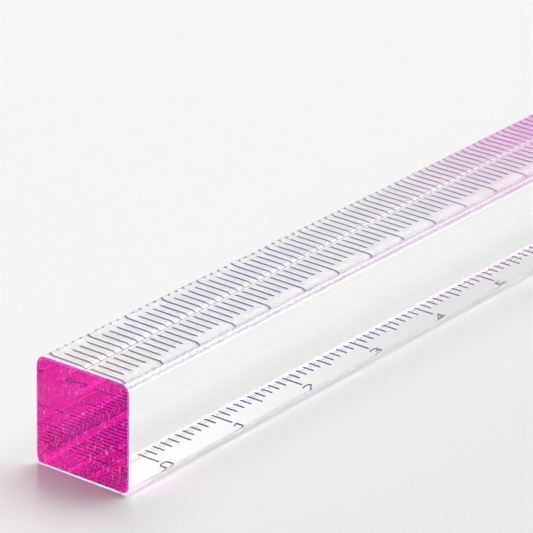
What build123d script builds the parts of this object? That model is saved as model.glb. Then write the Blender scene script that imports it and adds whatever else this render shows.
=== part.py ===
from build123d import *
from math import atan2, cos, degrees, radians, sin
import os

# Clear acrylic bar ruler: a square rod that is read through its own thickness, with the
# scale pressed into its underside and a magenta film on each end.
# Frame: millimetres, +Z up, origin at the middle of the underside. +Y runs along the scale
# towards the higher numbers, and +X points to the side that the numerals are on.

# ---- driving dimensions, mm ----
BAR_SIZE = 10.0  # width and height of the square rod
BAR_LENGTH = 163.1  # acrylic rod without its end films
END_BEVEL = 0.13  # small polished bevel round each end face

# The four long edges, starting at +X on the top and going round by way of -X: the radius in
# the middle, the radius of the gentler curves that run into it where it was polished over, and
# the degrees that these turn before and after it.
LONG_EDGES = (
    (0.77, 3.8, 8.5, 8.5),
    (0.77, 3.8, 8.5, 8.5),
    (0.3, 2.5, 22, 0),
    (0.7, 0.7, 0, 0),
)

FILM_THICKNESS = 0.1  # magenta film on each end face
FILM_EDGE_GAP = 0.02  # the film stops just short of the bevel

SCALE_LENGTH = 150  # graduated length, in whole millimetres
MARK_DEPTH = 0.05  # pigment pressed into the underside, flush with it
MARK_WIDTH = 0.12  # width of every graduation line
MARK_START = 0.5  # the lines begin beside the rounded edge, this far in from the -X side
MILLIMETRE_LINE = 3.27  # where the three kinds of line end, from the rod's -X side
HALF_CENTIMETRE_LINE = 4.3
CENTIMETRE_LINE = 5.55

NUMERAL_TOP = 6.35  # from the rod's -X side to the tops of the numerals
NUMERAL_HEIGHT = 2.2
NUMERAL_WIDTH = 1.15
PEN_WIDTH = 0.16  # width of the line that draws the numerals
DIGIT_SPACING = 0.35  # clear space between two digits

# ---- places that follow from them ----
LEFT_SIDE = -BAR_SIZE / 2
SCALE_ZERO = -SCALE_LENGTH / 2  # y of the zero line
MILLIMETRES_PER_CENTIMETRE = 10
LAST_CENTIMETRE = SCALE_LENGTH // MILLIMETRES_PER_CENTIMETRE
FILM_INSET = END_BEVEL + FILM_EDGE_GAP

# The pen's centre line stays half a pen inside the numeral's outline.
# Digits are drawn with x to their right and y up, from their lower left corner.
WIDE = NUMERAL_WIDTH - PEN_WIDTH
HIGH = NUMERAL_HEIGHT - PEN_WIDTH
MIDDLE = WIDE / 2
ROUND = WIDE / 2  # radius of a full-width bowl
SMALL_ROUND = HIGH / 4  # radius of one of two stacked bowls


def make_edge(inset, radius, run_in, before, after):
    """The arcs of a long edge in the centred section, drawn for the upper corner at +X."""
    gentle = BAR_SIZE / 2 - run_in
    offset = run_in - radius
    middle_x = gentle + offset * cos(radians(before))
    middle_y = gentle + offset * cos(radians(after))
    arcs = [CenterArc((middle_x, middle_y), radius - inset, before, 90 - before - after)]
    if before:
        start = middle_y - offset * sin(radians(before))
        arcs.insert(0, CenterArc((gentle, start), run_in - inset, 0, before))
    if after:
        end = middle_x - offset * sin(radians(after))
        arcs.append(CenterArc((end, gentle), run_in - inset, 90 - after, after))
    return arcs


def make_section(inset):
    """The rod's section, centred, moved in by inset all the way round."""
    corners = []
    for quarter, edge in enumerate(LONG_EDGES):
        turn = Rot(0, 0, 90 * quarter)
        corners.append([turn * arc for arc in make_edge(inset, *edge)])
    outline = []
    for corner, following in zip(corners, corners[1:] + corners[:1]):
        outline += [*corner, Line(corner[-1] @ 1, following[0] @ 0)]
    return Face(Wire(outline))


def make_bar(inset, length):
    """A plain bar of the section, standing on the underside's plane and centred along Y."""
    upright = Pos(0, length / 2, BAR_SIZE / 2) * Rot(90, 0, 0)
    return extrude(upright * make_section(inset), length, dir=(0, -1, 0))


def make_rod():
    """The plain rod, before the pockets of its scale are cut."""
    rod = make_bar(0, BAR_LENGTH)
    return chamfer(rod.faces().filter_by(Axis.Y).edges(), END_BEVEL)


def make_film(side):
    """The magenta film on one end: side is -1 at the zero end and 1 at the far end."""
    sheet = make_bar(FILM_INSET, FILM_THICKNESS)
    return Pos(0, side * (BAR_LENGTH + FILM_THICKNESS) / 2, 0) * sheet


def make_lines(millimetres, end):
    """Lines across the rod at the given places: strips of its skin, from MARK_START to end."""
    skin = make_bar(0, BAR_LENGTH) - make_bar(MARK_DEPTH, BAR_LENGTH)
    blank = Box(end - MARK_START, MARK_WIDTH, BAR_SIZE / 2, align=(Align.MIN, Align.CENTER, Align.MIN))
    start = LEFT_SIDE + MARK_START
    blanks = [Pos(start, SCALE_ZERO + millimetre, 0) * blank for millimetre in millimetres]
    return (skin & Compound(blanks)).solids()


# ---- the ten digits: each one is a list of pen paths ----
def closed_bowl(x, y, radius):
    return [CenterArc((x, y), radius, 90, 180), CenterArc((x, y), radius, 270, 180)]


def draw_zero():
    low, high = ROUND, HIGH - ROUND
    top = CenterArc((MIDDLE, high), ROUND, 0, 180)
    bottom = CenterArc((MIDDLE, low), ROUND, 180, 180)
    return [[Line((WIDE, low), (WIDE, high)), top, Line((0, high), (0, low)), bottom]]


def draw_one():
    stem = 0.6 * WIDE
    return [[Line((0.1 * WIDE, 0.8 * HIGH), (stem, HIGH)), Line((stem, HIGH), (stem, 0))]]


def draw_two():
    # The diagonal leaves the bowl where a line from the lower left corner touches it.
    bowl_height = HIGH - ROUND
    touch = 2 * degrees(atan2(bowl_height, ROUND)) - 180
    bowl = CenterArc((MIDDLE, bowl_height), ROUND, 165, touch - 165)
    return [[bowl, Line(bowl @ 1, (0, 0)), Line((0, 0), (WIDE, 0))]]


def draw_three():
    upper = CenterArc((MIDDLE, HIGH - SMALL_ROUND), SMALL_ROUND, 160, -250)
    lower = CenterArc((MIDDLE, SMALL_ROUND), SMALL_ROUND, 90, -250)
    return [[upper], [lower]]


def draw_four():
    stem, bar = 0.75 * WIDE, 0.3 * HIGH
    return [[Line((stem, HIGH), (0, bar)), Line((0, bar), (WIDE, bar))], [Line((stem, HIGH), (stem, 0))]]


def draw_five():
    bowl = CenterArc((MIDDLE, ROUND), ROUND, 140, -285)
    corner = (0.12 * WIDE, HIGH)
    return [[Line((0.9 * WIDE, HIGH), corner), Line(corner, bowl @ 0), bowl]]


def draw_six():
    # The stem leaves the bowl's left side upright and leans over to the right.
    stem_radius = 3.5 * ROUND
    stem = CenterArc((stem_radius, ROUND), stem_radius, 180, -57)
    return [closed_bowl(MIDDLE, ROUND, ROUND), [stem]]


def draw_seven():
    return [[Line((0, HIGH), (WIDE, HIGH)), Line((WIDE, HIGH), (0.3 * WIDE, 0))]]


def draw_eight():
    return [closed_bowl(MIDDLE, height, SMALL_ROUND) for height in (SMALL_ROUND, HIGH - SMALL_ROUND)]


def draw_nine():
    half_turn = Pos(WIDE, HIGH, 0) * Rot(0, 0, 180)
    return [[half_turn * edge for edge in path] for path in draw_six()]


DIGITS = [draw_zero, draw_one, draw_two, draw_three, draw_four,
          draw_five, draw_six, draw_seven, draw_eight, draw_nine]


def ink(path):
    """The area that a round pen covers along a path, as a thin solid."""
    wire = Wire([edge for piece in path for edge in piece.edges()])
    if wire.is_closed:
        area = Face(wire.offset_2d(PEN_WIDTH / 2)) - Face(wire.offset_2d(-PEN_WIDTH / 2))
    else:
        area = Face(wire.offset_2d(PEN_WIDTH / 2, side=Side.BOTH))
    return extrude(area, MARK_DEPTH, dir=(0, 0, 1))


def make_digit(value):
    strokes = [ink(path) for path in DIGITS[value]()]
    digit = strokes[0]
    for stroke in strokes[1:]:
        digit = digit + stroke
    return digit


def make_numeral(centimetre):
    """A whole number, centred on its line, with its top towards the lines."""
    digits = [int(character) for character in str(centimetre)]
    step = NUMERAL_WIDTH + DIGIT_SPACING
    first = -(len(digits) * step - DIGIT_SPACING) / 2 + PEN_WIDTH / 2
    foot = LEFT_SIDE + NUMERAL_TOP + NUMERAL_HEIGHT - PEN_WIDTH / 2
    place = Pos(foot, SCALE_ZERO + centimetre * MILLIMETRES_PER_CENTIMETRE, 0) * Rot(0, 0, 90)
    return [place * Pos(first + i * step, 0, 0) * make_digit(value) for i, value in enumerate(digits)]


def make_scale():
    """Every pigmented piece of the scale: node name to its separate solids."""
    whole = range(0, SCALE_LENGTH + 1, MILLIMETRES_PER_CENTIMETRE)
    half = range(MILLIMETRES_PER_CENTIMETRE // 2, SCALE_LENGTH, MILLIMETRES_PER_CENTIMETRE)
    fine = [place for place in range(SCALE_LENGTH + 1) if place not in whole and place not in half]
    scale = {
        "millimetre_lines": make_lines(fine, MILLIMETRE_LINE),
        "half_centimetre_lines": make_lines(half, HALF_CENTIMETRE_LINE),
        "centimetre_lines": make_lines(whole, CENTIMETRE_LINE),
    }
    for centimetre in range(LAST_CENTIMETRE + 1):
        scale[f"numeral_{centimetre}"] = make_numeral(centimetre)
    return scale


def make_nodes():
    scale = make_scale()
    pigment = [solid for solids in scale.values() for solid in solids]
    nodes = {
        "acrylic_rod": make_rod() - pigment,
        "zero_end_film": make_film(-1),
        "far_end_film": make_film(1),
    }
    for name, solids in scale.items():
        nodes[name] = Compound(children=[solid.solid() for solid in solids])
    return nodes


os.makedirs("parts", exist_ok=True)
for name, shape in make_nodes().items():
    export_step(shape, f"parts/{name}.step")
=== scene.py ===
from math import cos, pi, radians, sin

import bpy
from mathutils import Matrix, Vector


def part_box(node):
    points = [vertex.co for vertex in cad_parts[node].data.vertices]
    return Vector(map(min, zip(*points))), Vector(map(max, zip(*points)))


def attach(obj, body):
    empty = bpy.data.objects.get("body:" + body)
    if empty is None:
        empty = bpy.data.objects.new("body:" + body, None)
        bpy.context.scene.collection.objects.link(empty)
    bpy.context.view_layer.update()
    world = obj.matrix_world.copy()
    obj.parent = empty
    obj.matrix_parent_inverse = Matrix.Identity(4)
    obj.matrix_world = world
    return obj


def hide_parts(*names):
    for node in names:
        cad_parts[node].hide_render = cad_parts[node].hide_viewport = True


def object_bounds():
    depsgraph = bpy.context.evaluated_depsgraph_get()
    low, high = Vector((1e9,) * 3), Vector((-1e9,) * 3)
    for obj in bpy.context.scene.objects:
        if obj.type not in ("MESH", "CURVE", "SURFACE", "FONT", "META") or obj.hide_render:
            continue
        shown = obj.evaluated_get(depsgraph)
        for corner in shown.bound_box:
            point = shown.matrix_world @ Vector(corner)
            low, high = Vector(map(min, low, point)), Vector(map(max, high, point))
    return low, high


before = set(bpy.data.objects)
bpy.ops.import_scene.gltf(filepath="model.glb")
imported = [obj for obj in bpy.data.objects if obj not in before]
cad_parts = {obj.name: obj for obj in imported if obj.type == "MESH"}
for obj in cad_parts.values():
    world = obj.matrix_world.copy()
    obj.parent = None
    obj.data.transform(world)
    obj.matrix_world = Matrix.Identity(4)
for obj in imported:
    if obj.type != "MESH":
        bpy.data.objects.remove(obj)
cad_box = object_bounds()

MM = 0.001

# ---- the rod ----
# Its four long edges, starting at +X on the top and going round by way of -X: the radius in the
# middle, the radius of the gentler curves that run into it, and the degrees that these turn
# before and after it.
EDGES = (
    (0.77 * MM, 3.8 * MM, 8.5, 8.5),
    (0.77 * MM, 3.8 * MM, 8.5, 8.5),
    (0.3 * MM, 2.5 * MM, 22, 0),
    (0.7 * MM, 0.7 * MM, 0, 0),
)
END_BEVEL = 0.13 * MM  # round each end face
EDGE_STEPS = 20  # facets in each long edge
RUN_IN_STEPS = 8
BEVEL_STEPS = 4
FILM_GAP = 0.01 * MM  # between the rod's end and its film, so that the two never share a face
SKIN = 0.015 * MM  # the rod's surface runs through the thickness of the pigment, this deep
ACRYLIC_IOR = 1.49

# ---- colours, linear ----
COAT_TINT = (0.98, 0.35, 0.85, 1)  # what one pass through the coat leaves of white
COAT_ROUGHNESS = (0.0, 0.03)  # between its streaks and on them
FILM_TINT = (0.99, 0.48, 0.87, 1)  # and one pass through each side of the film
FILM_PAINTED_SHADE_TINT = (0.92, 0.36, 0.76, 1)  # the same darkened as painted shade at its lower corner on the numeral side
FILM_HAZE = (1.0, 0.36, 0.7, 1)
FILM_HAZE_SHARE = 0.09  # roughly, in the middle of the film
SCUFF_COLOUR = (0.95, 0.8, 0.88, 1)
SCUFF_STRENGTH = 0.85  # how well a scratch or a speck hides the film
DRIFT_START, DRIFT_END = -77 * MM, 3 * MM  # where the pigment's colour changes and its painted pink glow comes in, along Y
# The pigment's colour along Y: its last, pink stops are a painted glow for the magenta light from the far
# film.
PIGMENT_DRIFT_AND_PAINTED_GLOW = (
    (0.0, (0.33, 0.19, 0.13)),
    (0.075, (0.17, 0.12, 0.18)),
    (0.14, (0.05, 0.07, 0.36)),
    (0.34, (0.07, 0.12, 0.38)),
    (0.52, (0.20, 0.23, 0.38)),
    (0.71, (0.33, 0.26, 0.44)),
    (1.0, (0.62, 0.26, 0.56)),
)
WORN_PIGMENT = (0.6, 0.58, 0.6, 1)
PAINTED_GLOW_TINT = (1.0, 0.35, 0.93, 1)  # a painted pink glow on the rod's top, standing in for the light from the far film
PAINTED_GLOW_ALONG = (-32 * MM, 1 * MM)  # where it fades in along Y, along X and along Z
PAINTED_GLOW_ACROSS = (1.8 * MM, -1.5 * MM)
PAINTED_GLOW_UP = (8.5 * MM, 9.6 * MM)
MOTTLE = (0.75, 1.5)  # the pigment's brightness in its dark and its pale patches
PIGMENT_ROUGHNESS = (0.5, 0.75)  # in the same patches

# ---- marks on the surfaces ----
# Each has a size, and a stretch along X, Y and Z where it is longer one way: 0.05 draws it out
# to twenty times its size.
WIPE_SIZE, WIPE_STRETCH = 0.35 * MM, (1, 0.04, 1)
WAVE_SIZE, WAVE_STRETCH = 4 * MM, (1, 0.3, 1)
DUST_SIZE = 0.12 * MM
STREAK_SIZE, STREAK_STRETCH = 0.09 * MM, (1, 1, 0.06)
BRUSH_SIZE, BRUSH_STRETCH = 0.1 * MM, (1, 1, 0.05)
SCRATCH_SIZE, SCRATCH_STRETCH = 0.14 * MM, (1, 1, 0.16)
SCRATCH_TURN = 12  # degrees about Y, after the stretch: the scratches still stand upright
SPECK_SIZE = 0.07 * MM
CLOUD_SIZE = 3.2 * MM
MOTTLE_SIZE = 0.25 * MM
THIN_SPOT_SIZE = 0.06 * MM

# ---- camera ----
AZIMUTH = 36.976  # degrees from -Y towards +X
ELEVATION = 23.348
ROLL = 1.206
DISTANCE = 319.18 * MM
SENSOR_WIDTH = 36  # mm
FOCAL_LENGTH = 253.82  # mm
AIM_ALONG = 18.487 * MM  # from the zero end, in the plane of the rod's +X side
AIM_ABOVE = 4.633 * MM  # over the rod's top

# ---- lights ----
STRIP_AZIMUTH = (38.3, 46.3)  # degrees from +Y towards -X
STRIP_ELEVATION = (35.0, 70.0)  # degrees
STRIP_RADIANCE = 13.0
STRIP_DISTANCE = 3.0  # m
SKY = (  # direction, the cosines to it between which the glow fades in, radiance
    ((0, 0, 1), 0.35, 1.0, 0.16),
    ((-0.6, 0.8, 0), 0.0, 0.95, 0.77),
    ((0.6, -0.8, 0), 0.0, 0.95, 0.88),
    ((0.1, 0.5, 0.86), 0.85, 1.0, 3.2),
    ((0.5, 0.8, 0.33), 0.6, 1.0, 0.6),
    ((-0.64, 0.58, 0.5), 0.97, 0.995, 0.33),
)

# ---- floor ----
FLOOR_GAP = 0.05 * MM  # the air film under the rod
FLOOR_HALF_SIZE = 3.0  # m
FLOOR_PAINTED_SHADE_FADE = (-25 * MM, 25 * MM)  # along X, from the first tone to the second: a painted shade that greys the floor towards +X
FLOOR_TONE_AND_PAINTED_SHADE = (0.85, 0.765)
FLOOR_GRAIN_SIZE = 0.5 * MM
FLOOR_GRAIN = 0.006  # how far the tone goes up and down in the grain

# ---- how often light is followed through the acrylic and the films ----
LIGHT_BOUNCES = 40
FILM_PASSES = 16


def edge_steps(half_size, radius, run_in, before, after):
    """Angle, centre and radius at each step round an edge, drawn for the upper corner at +X."""
    before, after = radians(before), radians(after)
    offset = run_in - radius
    gentle = half_size - run_in
    middle_x = gentle + offset * cos(before)
    middle_z = gentle + offset * cos(after)
    upright = pi / 2 - after
    arcs = [
        (0, before, RUN_IN_STEPS, gentle, middle_z - offset * sin(before), run_in),
        (before, upright, EDGE_STEPS, middle_x, middle_z, radius),
        (upright, pi / 2, RUN_IN_STEPS, middle_x - offset * sin(after), gentle, run_in),
    ]
    steps = []
    for start, end, count, *arc in arcs:
        if end > start:
            steps += [(start + i / count * (end - start), *arc) for i in range(count)]
            last_arc = arc
    return steps + [(pi / 2, *last_arc)]


def section_ring(half_size, inset):
    """Points and normals round the rod's section in x and z, moved in from its surface by inset."""
    ring = []
    for quarter, edge in enumerate(EDGES):
        turn = Matrix.Rotation(-quarter * pi / 2, 3, "Y")
        for angle, x, z, radius in edge_steps(half_size, *edge):
            normal = Vector((cos(angle), 0, sin(angle)))
            ring.append((turn @ (Vector((x, 0, z)) + (radius - inset) * normal), turn @ normal))
    return ring


def build_rod(low, high):
    """The rod as one closed mesh with exact normals; its end faces use the second material."""
    half_size = (high.x - low.x) / 2
    half_length = (high.y - low.y) / 2
    middle = Vector((0, (low.y + high.y) / 2, low.z + half_size))
    rings = []
    for end in (-1, 1):
        steps = range(BEVEL_STEPS, -1, -1) if end < 0 else range(BEVEL_STEPS + 1)
        for step in steps:
            turn = step / BEVEL_STEPS * pi / 2
            y = end * (half_length - END_BEVEL * (1 - sin(turn)))
            ring = section_ring(half_size, SKIN + END_BEVEL * (1 - cos(turn)))
            points = [point + middle + Vector((0, y, 0)) for point, _ in ring]
            normals = [normal * cos(turn) + Vector((0, end * sin(turn), 0)) for _, normal in ring]
            rings.append((points, normals))
    count = len(rings[0][0])
    vertices = [point for points, _ in rings for point in points]
    normals = [normal for _, ring_normals in rings for normal in ring_normals]
    faces = []
    for row in range(len(rings) - 1):
        for i in range(count):
            j = (i + 1) % count
            faces.append((row * count + i, (row + 1) * count + i, (row + 1) * count + j, row * count + j))
    last = (len(rings) - 1) * count
    faces.append(tuple(range(count)))
    faces.append(tuple(last + i for i in reversed(range(count))))
    mesh = bpy.data.meshes.new("clear_rod")
    mesh.from_pydata(vertices, [], faces)
    mesh.polygons.foreach_set("use_smooth", [True] * len(faces))
    for cap in (-2, -1):
        mesh.polygons[len(faces) + cap].material_index = 1
    mesh.update()
    mesh.validate()
    mesh.normals_split_custom_set([normals[loop.vertex_index] for loop in mesh.loops])
    rod = bpy.data.objects.new("clear_rod", mesh)
    bpy.context.collection.objects.link(rod)
    return rod


# ---- materials ----
def new_material(name):
    material = bpy.data.materials.new(name)
    material.use_nodes = True
    material.node_tree.nodes.clear()
    return material, material.node_tree


def add(tree, kind, inputs=None, **settings):
    """A shader node with its settings and inputs: an input is a constant or another node's socket."""
    node = tree.nodes.new("ShaderNode" + kind)
    for name, value in settings.items():
        setattr(node, name, value)
    for socket, value in (inputs or {}).items():
        if isinstance(value, bpy.types.NodeSocket):
            tree.links.new(value, node.inputs[socket])
        else:
            node.inputs[socket].default_value = value
    return node


def finish_with(tree, shader):
    add(tree, "OutputMaterial", {"Surface": shader.outputs[0]})


def object_place(tree, scale=(1, 1, 1), turn=(0, 0, 0)):
    """The object's own coordinates, scaled and then turned."""
    place = add(tree, "TexCoord").outputs["Object"]
    return add(tree, "Mapping", {"Vector": place, "Scale": scale, "Rotation": turn}).outputs[0]


def noise(tree, place, size, detail=3.0, roughness=0.5):
    """Cloudy noise from 0 to 1, with clouds of about the given size."""
    settings = {"Vector": place, "Scale": 1 / size, "Detail": detail, "Roughness": roughness}
    return add(tree, "TexNoise", settings).outputs["Fac"]


def remap(tree, value, low, high, to_low=0.0, to_high=1.0):
    """A smooth step from to_low to to_high, where the value goes from low to high."""
    settings = {"Value": value, "From Min": low, "From Max": high, "To Min": to_low, "To Max": to_high}
    return add(tree, "MapRange", settings, interpolation_type="SMOOTHSTEP").outputs["Result"]


def combine(tree, operation, first, second):
    """Two numbers joined by an operation of the Math node."""
    return add(tree, "Math", {0: first, 1: second}, operation=operation).outputs[0]


def painted_pink_glow(tree):
    """The rod's colour: white, with a painted pink glow on its top for the light from the far film."""
    place = add(tree, "SeparateXYZ", {0: object_place(tree)}).outputs
    along = remap(tree, place["Y"], *PAINTED_GLOW_ALONG)
    across = remap(tree, place["X"], *PAINTED_GLOW_ACROSS)
    top = remap(tree, place["Z"], *PAINTED_GLOW_UP)
    share = combine(tree, "MULTIPLY", combine(tree, "MULTIPLY", along, across), top)
    return add(tree, "Mix", {0: share, 6: (1, 1, 1, 1), 7: PAINTED_GLOW_TINT}, data_type="RGBA").outputs[2]


def clear_acrylic():
    """Polished clear acrylic with wipe marks along it, a little dust and a painted pink glow on its top.
    """
    material, tree = new_material("clear_acrylic_polished")
    wipes = noise(tree, object_place(tree, WIPE_STRETCH), WIPE_SIZE)
    wipe_roughness = remap(tree, wipes, 0.66, 0.8, 0, 0.09)
    dust = noise(tree, object_place(tree), DUST_SIZE, 1.0)
    dust_roughness = remap(tree, dust, 0.77, 0.83, 0, 0.3)
    marks = combine(tree, "MAXIMUM", wipe_roughness, dust_roughness)
    waves = noise(tree, object_place(tree, WAVE_STRETCH), WAVE_SIZE, 1.0)
    bump = add(tree, "Bump", {"Height": waves, "Strength": 0.02, "Distance": 0.05 * MM})
    inputs = {"Base Color": painted_pink_glow(tree), "IOR": ACRYLIC_IOR, "Transmission Weight": 1.0}
    inputs |= {"Roughness": marks, "Normal": bump.outputs[0]}
    finish_with(tree, add(tree, "BsdfPrincipled", inputs))
    return material


def magenta_coat():
    """The rod's end under its film: magenta, and slightly hazy from the saw and the adhesive."""
    material, tree = new_material("magenta_end_coat")
    streaks = noise(tree, object_place(tree, STREAK_STRETCH), STREAK_SIZE)
    haze = remap(tree, streaks, 0.4, 0.75, *COAT_ROUGHNESS)
    inputs = {"Color": COAT_TINT, "Roughness": haze, "IOR": ACRYLIC_IOR}
    finish_with(tree, add(tree, "BsdfGlass", inputs))
    return material


def pigment():
    """Hot-stamped pigment whose colour changes along the scale into a painted pink glow, with mottle and
    thin spots in it.
    """
    material, tree = new_material("scale_pigment_pressed")
    along = add(tree, "SeparateXYZ", {0: object_place(tree)}).outputs["Y"]
    ends = {"Value": along, "From Min": DRIFT_START, "From Max": DRIFT_END}
    travel = add(tree, "MapRange", ends).outputs[0]
    # the colour along the scale, ending in painted pink light towards +Y
    drift_and_painted_glow = add(tree, "ValToRGB", {"Fac": travel})
    stops = drift_and_painted_glow.color_ramp.elements
    for place, colour in PIGMENT_DRIFT_AND_PAINTED_GLOW[1:-1]:
        stops.new(place)
    for stop, (place, colour) in zip(stops, PIGMENT_DRIFT_AND_PAINTED_GLOW):
        stop.position = place
        stop.color = (*colour, 1)
    patches = noise(tree, object_place(tree), MOTTLE_SIZE)
    mottle = remap(tree, patches, 0.3, 0.75, *MOTTLE)
    thin_spots = noise(tree, object_place(tree), THIN_SPOT_SIZE, 2.0)
    wear = remap(tree, thin_spots, 0.68, 0.8, 0, 0.35)
    tone = add(tree, "HueSaturation", {"Color": drift_and_painted_glow.outputs["Color"], "Value": mottle})
    worn = {0: wear, 6: tone.outputs[0], 7: WORN_PIGMENT}
    colour = add(tree, "Mix", worn, data_type="RGBA").outputs[2]
    bump = add(tree, "Bump", {"Height": mottle, "Strength": 0.3, "Distance": 0.01 * MM})
    roughness = remap(tree, mottle, *MOTTLE, *PIGMENT_ROUGHNESS)
    inputs = {"Base Color": colour, "Roughness": roughness, "Specular IOR Level": 0.0}
    finish_with(tree, add(tree, "BsdfPrincipled", inputs | {"Normal": bump.outputs[0]}))
    return material


def film():
    """Magenta film: a clear tint with haze, scratches and specks.

    The haze thickens upwards and towards -X, the tint darkens the other way as painted shade, and
    most of the scratches and specks are low down.
    """
    material, tree = new_material("magenta_film_scuffed")
    place = object_place(tree)
    axes = add(tree, "SeparateXYZ", {0: place}).outputs
    height, across = axes["Z"], axes["X"]
    low_down = remap(tree, height, 7 * MM, 0.5 * MM)
    brush = noise(tree, object_place(tree, BRUSH_STRETCH), BRUSH_SIZE)
    fine = noise(tree, place, SPECK_SIZE, 2.0)
    turned = object_place(tree, SCRATCH_STRETCH, (0, radians(SCRATCH_TURN), 0))
    scratches = noise(tree, turned, SCRATCH_SIZE, 1.0)
    clouds = noise(tree, place, CLOUD_SIZE, 1.0)
    brushed = remap(tree, brush, 0.35, 0.7, 0.5, 1.3)
    cloudy = remap(tree, clouds, 0.35, 0.65, 0.6, 1.4)
    haze = combine(tree, "MULTIPLY", brushed, cloudy)
    rise = combine(tree, "SUBTRACT", height, across)
    thickening = remap(tree, rise, -2 * MM, 13 * MM, 0.0, 2.4)
    # painted shade: the tint darkens towards the lower corner on the numeral side
    painted_shade = remap(tree, rise, 6 * MM, -4 * MM)
    colour = add(tree, "Mix", {0: painted_shade, 6: FILM_TINT, 7: FILM_PAINTED_SHADE_TINT}, data_type="RGBA").outputs[2]
    tint = add(tree, "BsdfTransparent", {"Color": colour})
    glow = add(tree, "BsdfTranslucent", {"Color": FILM_HAZE})
    paint = add(tree, "BsdfDiffuse", {"Color": FILM_HAZE})
    scatter = add(tree, "MixShader", {0: 0.5, 1: glow.outputs[0], 2: paint.outputs[0]})
    placed_haze = combine(tree, "MULTIPLY", haze, thickening)
    share = combine(tree, "MULTIPLY", placed_haze, FILM_HAZE_SHARE)
    body = add(tree, "MixShader", {0: share, 1: tint.outputs[0], 2: scatter.outputs[0]})
    scuff = add(tree, "BsdfDiffuse", {"Color": SCUFF_COLOUR})
    speck_start = combine(tree, "SUBTRACT", 0.68, combine(tree, "MULTIPLY", low_down, 0.08))
    specks = remap(tree, fine, speck_start, 0.72)
    line_start = combine(tree, "SUBTRACT", 0.70, combine(tree, "MULTIPLY", low_down, 0.06))
    lines = remap(tree, scratches, line_start, 0.77)
    wear = combine(tree, "MULTIPLY", combine(tree, "MAXIMUM", specks, lines), SCUFF_STRENGTH)
    finish_with(tree, add(tree, "MixShader", {0: wear, 1: body.outputs[0], 2: scuff.outputs[0]}))
    return material


def pale_floor():
    """Matt white board, with a painted shade that makes it a little greyer towards +X."""
    material, tree = new_material("pale_floor")
    across = add(tree, "SeparateXYZ", {0: object_place(tree)}).outputs["X"]
    # painted shade: the floor's tone greys towards +X
    tone = remap(tree, across, *FLOOR_PAINTED_SHADE_FADE, *FLOOR_TONE_AND_PAINTED_SHADE)
    grain = noise(tree, object_place(tree), FLOOR_GRAIN_SIZE, 4.0)
    value = combine(tree, "ADD", tone, remap(tree, grain, 0.3, 0.7, -FLOOR_GRAIN, FLOOR_GRAIN))
    grey = add(tree, "CombineColor", {0: value, 1: value, 2: value}).outputs[0]
    bump = add(tree, "Bump", {"Height": grain, "Strength": 0.15, "Distance": 0.02 * MM})
    finish_with(tree, add(tree, "BsdfDiffuse", {"Color": grey, "Normal": bump.outputs[0]}))
    return material


def dress(node, material):
    """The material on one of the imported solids."""
    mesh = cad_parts[node].data
    mesh.materials.clear()
    mesh.materials.append(material)


# ---- stage ----
def make_floor(top):
    size = FLOOR_HALF_SIZE
    corners = [(-size, -size, top), (size, -size, top), (size, size, top), (-size, size, top)]
    mesh = bpy.data.meshes.new("floor")
    mesh.from_pydata(corners, [], [(0, 1, 2, 3)])
    floor = bpy.data.objects.new("floor", mesh)
    bpy.context.collection.objects.link(floor)
    mesh.materials.append(pale_floor())


def make_strip():
    """A tall narrow light behind the ruler, which fills the given part of the sky."""
    turn, tilt = radians(sum(STRIP_AZIMUTH) / 2), radians(sum(STRIP_ELEVATION) / 2)
    away = Vector((-sin(turn) * cos(tilt), cos(turn) * cos(tilt), sin(tilt)))
    data = bpy.data.lights.new("strip", "AREA")
    data.shape = "RECTANGLE"
    data.size = STRIP_DISTANCE * cos(tilt) * radians(STRIP_AZIMUTH[1] - STRIP_AZIMUTH[0])
    data.size_y = STRIP_DISTANCE * radians(STRIP_ELEVATION[1] - STRIP_ELEVATION[0])
    data.energy = STRIP_RADIANCE * pi * data.size * data.size_y
    light = bpy.data.objects.new("strip", data)
    turned = away.to_track_quat("Z", "Y").to_matrix().to_4x4()
    light.matrix_world = Matrix.Translation(away * STRIP_DISTANCE) @ turned
    bpy.context.collection.objects.link(light)


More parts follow.
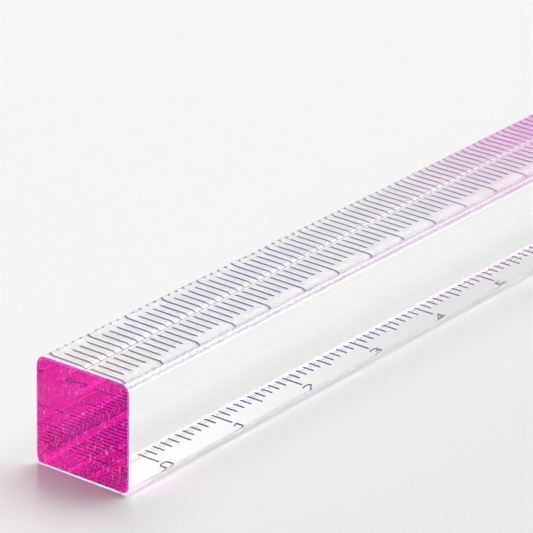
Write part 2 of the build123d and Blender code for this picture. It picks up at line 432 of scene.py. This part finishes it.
def make_world():
    """A pale room: soft glows from several directions, added up."""
    world = bpy.data.worlds.new("studio")
    world.use_nodes = True
    tree = world.node_tree
    towards = add(tree, "TexCoord").outputs["Generated"]
    total = 0.0
    for direction, low, high, radiance in SKY:
        inputs = {0: towards, 1: Vector(direction).normalized()}
        cosine = add(tree, "VectorMath", inputs, operation="DOT_PRODUCT").outputs["Value"]
        total = combine(tree, "ADD", remap(tree, cosine, low, high, 0.0, radiance), total)
    background = tree.nodes["Background"]
    background.inputs["Color"].default_value = (1, 1, 1, 1)
    tree.links.new(total, background.inputs["Strength"])
    bpy.context.scene.world = world


def make_camera(low, high):
    turn, tilt, roll = radians(AZIMUTH), radians(ELEVATION), radians(ROLL)
    back = Vector((sin(turn) * cos(tilt), -cos(turn) * cos(tilt), sin(tilt)))
    level_right = Vector((cos(turn), sin(turn), 0))
    level_up = back.cross(level_right)
    right = level_right * cos(roll) + level_up * sin(roll)
    up = level_up * cos(roll) - level_right * sin(roll)
    aim = Vector((high.x, low.y + AIM_ALONG, high.z + AIM_ABOVE))
    data = bpy.data.cameras.new("camera")
    data.lens = FOCAL_LENGTH
    data.sensor_width = SENSOR_WIDTH
    data.clip_start = 0.01
    camera = bpy.data.objects.new("camera", data)
    turned = Matrix((right, up, back)).transposed().to_4x4()
    camera.matrix_world = Matrix.Translation(aim + back * DISTANCE) @ turned
    bpy.context.collection.objects.link(camera)
    bpy.context.scene.camera = camera


low, high = (Vector(corner) for corner in cad_box)
make_camera(low, high)

rod_low, rod_high = (Vector(corner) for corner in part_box("acrylic_rod"))
rod_low.y += FILM_GAP
rod_high.y -= FILM_GAP
rod = build_rod(rod_low, rod_high)
rod.data.materials.append(clear_acrylic())
rod.data.materials.append(magenta_coat())
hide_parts("acrylic_rod")
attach(rod, "root")

dark = pigment()
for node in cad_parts:
    if node.startswith("numeral") or node.endswith("lines"):
        dress(node, dark)
for node in ("zero_end_film", "far_end_film"):
    dress(node, film())

make_floor(low.z - FLOOR_GAP)
make_world()
make_strip()

scene = bpy.context.scene
scene.view_settings.view_transform = "Standard"
scene.cycles.blur_glossy = 0
scene.cycles.sample_clamp_indirect = 0
scene.cycles.max_bounces = LIGHT_BOUNCES
scene.cycles.transmission_bounces = LIGHT_BOUNCES
scene.cycles.glossy_bounces = LIGHT_BOUNCES
scene.cycles.transparent_max_bounces = FILM_PASSES
